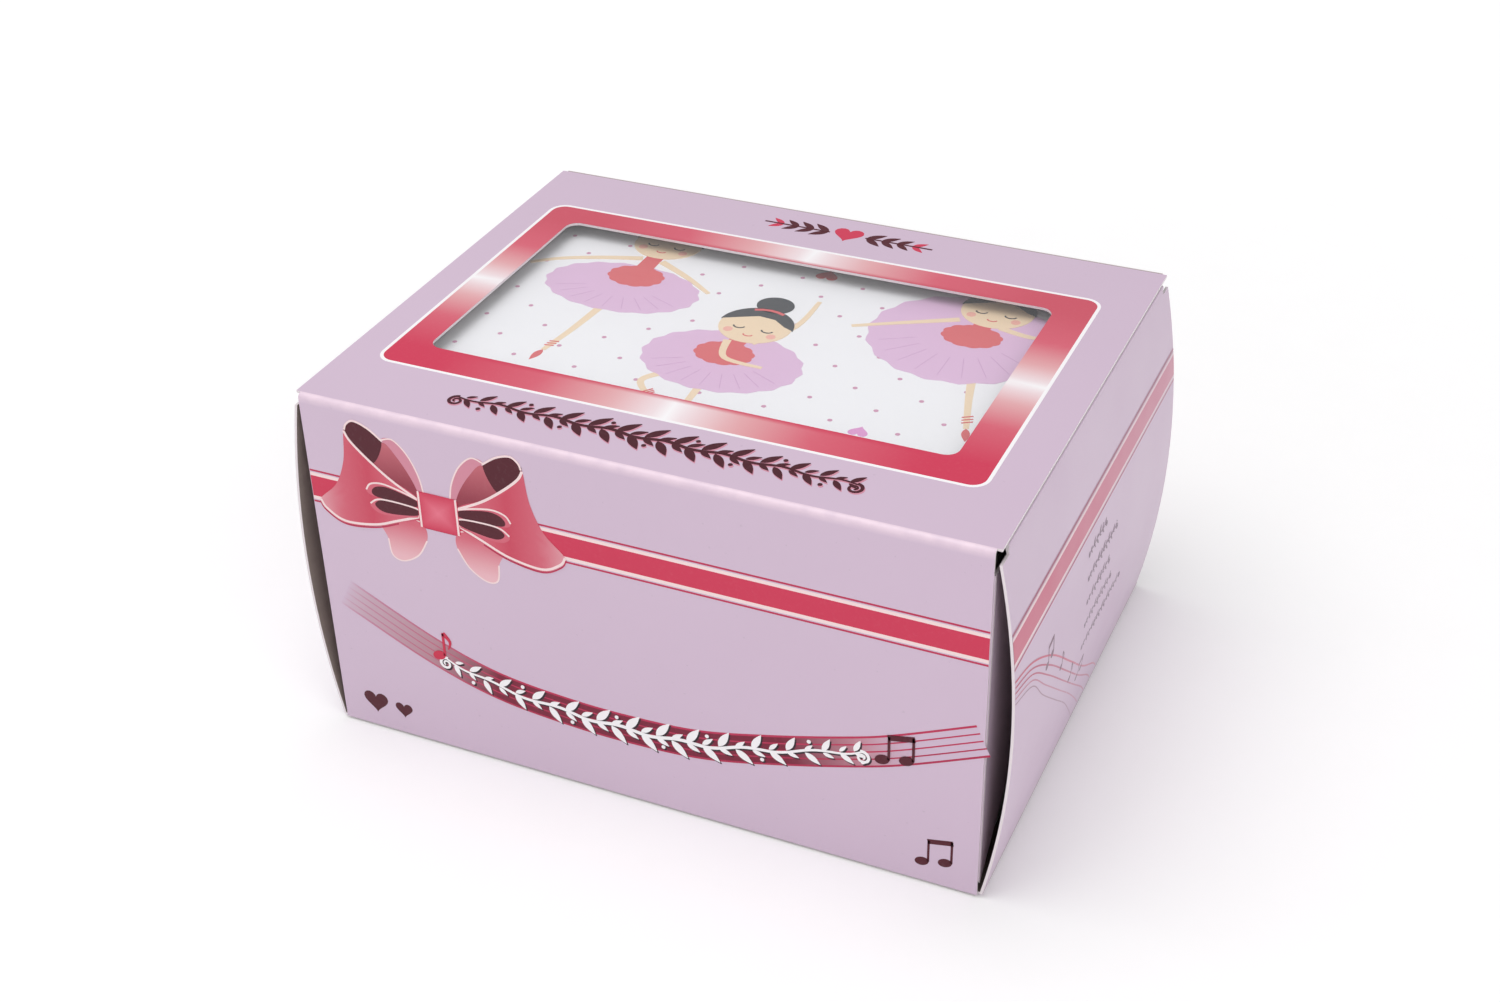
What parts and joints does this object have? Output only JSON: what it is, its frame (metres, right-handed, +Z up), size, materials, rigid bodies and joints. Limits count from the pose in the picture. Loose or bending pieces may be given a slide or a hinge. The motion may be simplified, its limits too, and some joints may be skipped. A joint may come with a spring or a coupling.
{
  "type": "ballerina jewellery box",
  "caption": "Musical jewellery box with mirror lid, felt wells and a dancing ballerina on a pin-drum movement, in a folding window carton.",
  "frame": {"origin": "centre of the underside of the carton", "axes": "+X along the carton to its right end, +Y to its back, +Z up"},
  "size_m": [0.1668, 0.123, 0.088],
  "materials": {
    "lilac_board": "coated, satin",
    "clear_film": "clear, glossy",
    "case_paper": "printed paper over greyboard",
    "pink_flock": "flocked",
    "mirror": "silvered",
    "brass": "satin",
    "steel": "brushed",
    "cast_bed": "cast, matt",
    "white_plastic": "moulded",
    "tulle": "net"
  },
  "bodies": {
    "carton_base": {"carton_back_panel": "lilac_board", "carton_bottom_panel": "lilac_board", "carton_front_tab": "lilac_board", "case_back_wall": "case_paper", "case_floor": "case_paper", "case_front_wall": "case_paper", "case_left_wall": "case_paper", "case_right_wall": "case_paper", "click_spring": "steel", "comb": "steel", "comb_screws": "steel", "deck": "pink_flock", "felt_feet": "pink_flock", "front_bearing_plate": "brass", "governor_bridge": "brass", "hinge_case_leaves": "steel", "hinge_pins": "steel", "movement_bedplate": "cast_bed", "rear_bearing_plate": "brass", "ring_roll_divider": "case_paper", "ring_rolls": "pink_flock", "spindle_bushing": "brass", "well_dividers": "case_paper", "well_pads": "pink_flock"},
    "carton_cover": {"carton_top_panel": "lilac_board", "carton_front_panel": "lilac_board", "window_film": "clear_film"},
    "right_end": {"carton_right_end_panel": "lilac_board"},
    "left_end": {"carton_left_end_panel": "lilac_board"},
    "right_front_flap": {"dust_flap_right_front": "lilac_board"},
    "right_back_flap": {"dust_flap_right_back": "lilac_board"},
    "left_front_flap": {"dust_flap_left_front": "lilac_board"},
    "left_back_flap": {"dust_flap_left_back": "lilac_board"},
    "lid": {"lid_top_board": "case_paper", "lid_rim_boards": "case_paper", "lid_lining": "pink_flock", "mirror": "mirror", "hinge_lid_leaves": "steel"},
    "winding": {"winding_arbor": "steel", "ratchet_wheel": "steel", "winding_key": "brass"},
    "barrel": {"spring_barrel": "brass", "barrel_gear": "brass", "mainspring": "steel"},
    "drum": {"drum_arbor": "steel", "pinned_drum": "brass", "drum_wheel": "brass", "drum_pinion": "steel", "drum_crown_gear": "brass"},
    "governor": {"governor_arbor": "steel", "governor_wheel": "brass"},
    "fly": {"fly_arbor": "steel", "fly_blades": "white_plastic"},
    "spindle": {"spindle_shaft": "steel", "spindle_pin_wheel": "white_plastic", "spindle_cup": "brass", "dancer_spring": "steel"},
    "ballerina": {"ballerina_figure": "white_plastic", "ballerina_tutu": "tulle"},
    "stop": {"stop_wire": "steel"}
  },
  "joints": [
    {"name": "lid_hinge", "type": "hinge", "parent": "carton_base", "child": "lid", "pos_m": [0, 0.0439, 0.07], "axis": [-1, 0, 0], "range_deg": [0, 95]},
    {"name": "cover_hinge", "type": "hinge", "parent": "carton_base", "child": "carton_cover", "pos_m": [0, 0.0612, 0.0877], "axis": [-1, 0, 0], "range_deg": [0, 171]},
    {"name": "stop_wire_slide", "type": "slide", "parent": "carton_base", "child": "stop", "axis": [0, 0, 1], "range_m": [0, 0.003]},
    {"name": "drum_turn", "type": "hinge", "parent": "carton_base", "child": "drum", "pos_m": [0, 0, 0.022], "axis": [0, 1, 0], "continuous": true},
    {"name": "barrel_turn", "type": "hinge", "parent": "carton_base", "child": "barrel", "pos_m": [0.017, 0, 0.022], "axis": [0, 1, 0], "continuous": true},
    {"name": "governor_turn", "type": "hinge", "parent": "carton_base", "child": "governor", "pos_m": [-0.00866, 0, 0.027], "axis": [0, 1, 0], "continuous": true},
    {"name": "fly_turn", "type": "hinge", "parent": "carton_base", "child": "fly", "pos_m": [-0.01685, 0, 0.02126], "axis": [0, 1, 0], "continuous": true},
    {"name": "spindle_turn", "type": "hinge", "parent": "carton_base", "child": "spindle", "pos_m": [0, -0.0084, 0], "axis": [0, 0, 1], "continuous": true},
    {"name": "dancer_tilt", "type": "hinge", "parent": "spindle", "child": "ballerina", "pos_m": [0, -0.0084, 0.056], "axis": [-1, 0, 0], "range_deg": [0, 90]},
    {"name": "winding_key_turn", "type": "hinge", "parent": "carton_base", "child": "winding", "pos_m": [0.017, 0, 0.022], "axis": [0, 1, 0], "continuous": true},
    {"name": "right_end_hinge", "type": "hinge", "parent": "carton_base", "child": "right_end", "pos_m": [0.0787, 0, 0.0003], "axis": [0, 1, 0], "range_deg": [0, 82]},
    {"name": "left_end_hinge", "type": "hinge", "parent": "carton_base", "child": "left_end", "pos_m": [-0.0787, 0, 0.0003], "axis": [0, -1, 0], "range_deg": [0, 82]},
    {"name": "right_front_flap_fold", "type": "hinge", "parent": "carton_cover", "child": "right_front_flap", "pos_m": [0.0778, -0.06075, 0.044], "axis": [0, 0, -1], "range_deg": [0, 74]},
    {"name": "right_back_flap_fold", "type": "hinge", "parent": "carton_base", "child": "right_back_flap", "pos_m": [0.0778, 0.06075, 0.044], "axis": [0, 0, 1], "range_deg": [0, 74]},
    {"name": "left_front_flap_fold", "type": "hinge", "parent": "carton_cover", "child": "left_front_flap", "pos_m": [-0.0778, -0.06075, 0.044], "axis": [0, 0, 1], "range_deg": [0, 74]},
    {"name": "left_back_flap_fold", "type": "hinge", "parent": "carton_base", "child": "left_back_flap", "pos_m": [-0.0778, 0.06075, 0.044], "axis": [0, 0, -1], "range_deg": [0, 74]}
  ],
  "couplings": [
    {"joint": "cover_hinge", "follows": "lid_hinge", "ratio": 1.8},
    {"joint": "stop_wire_slide", "follows": "lid_hinge", "m_per_rad": 0.0018},
    {"joint": "dancer_tilt", "follows": "lid_hinge", "ratio": 0.9473},
    {"joint": "barrel_turn", "follows": "drum_turn", "ratio": -0.41667},
    {"joint": "governor_turn", "follows": "drum_turn", "ratio": -3},
    {"joint": "fly_turn", "follows": "drum_turn", "ratio": 9},
    {"joint": "spindle_turn", "follows": "drum_turn", "ratio": 0.83333},
    {"joint": "right_front_flap_fold", "follows": "right_end_hinge", "ratio": 0.9},
    {"joint": "right_back_flap_fold", "follows": "right_end_hinge", "ratio": 0.9},
    {"joint": "left_front_flap_fold", "follows": "left_end_hinge", "ratio": 0.9},
    {"joint": "left_back_flap_fold", "follows": "left_end_hinge", "ratio": 0.9}
  ]
}
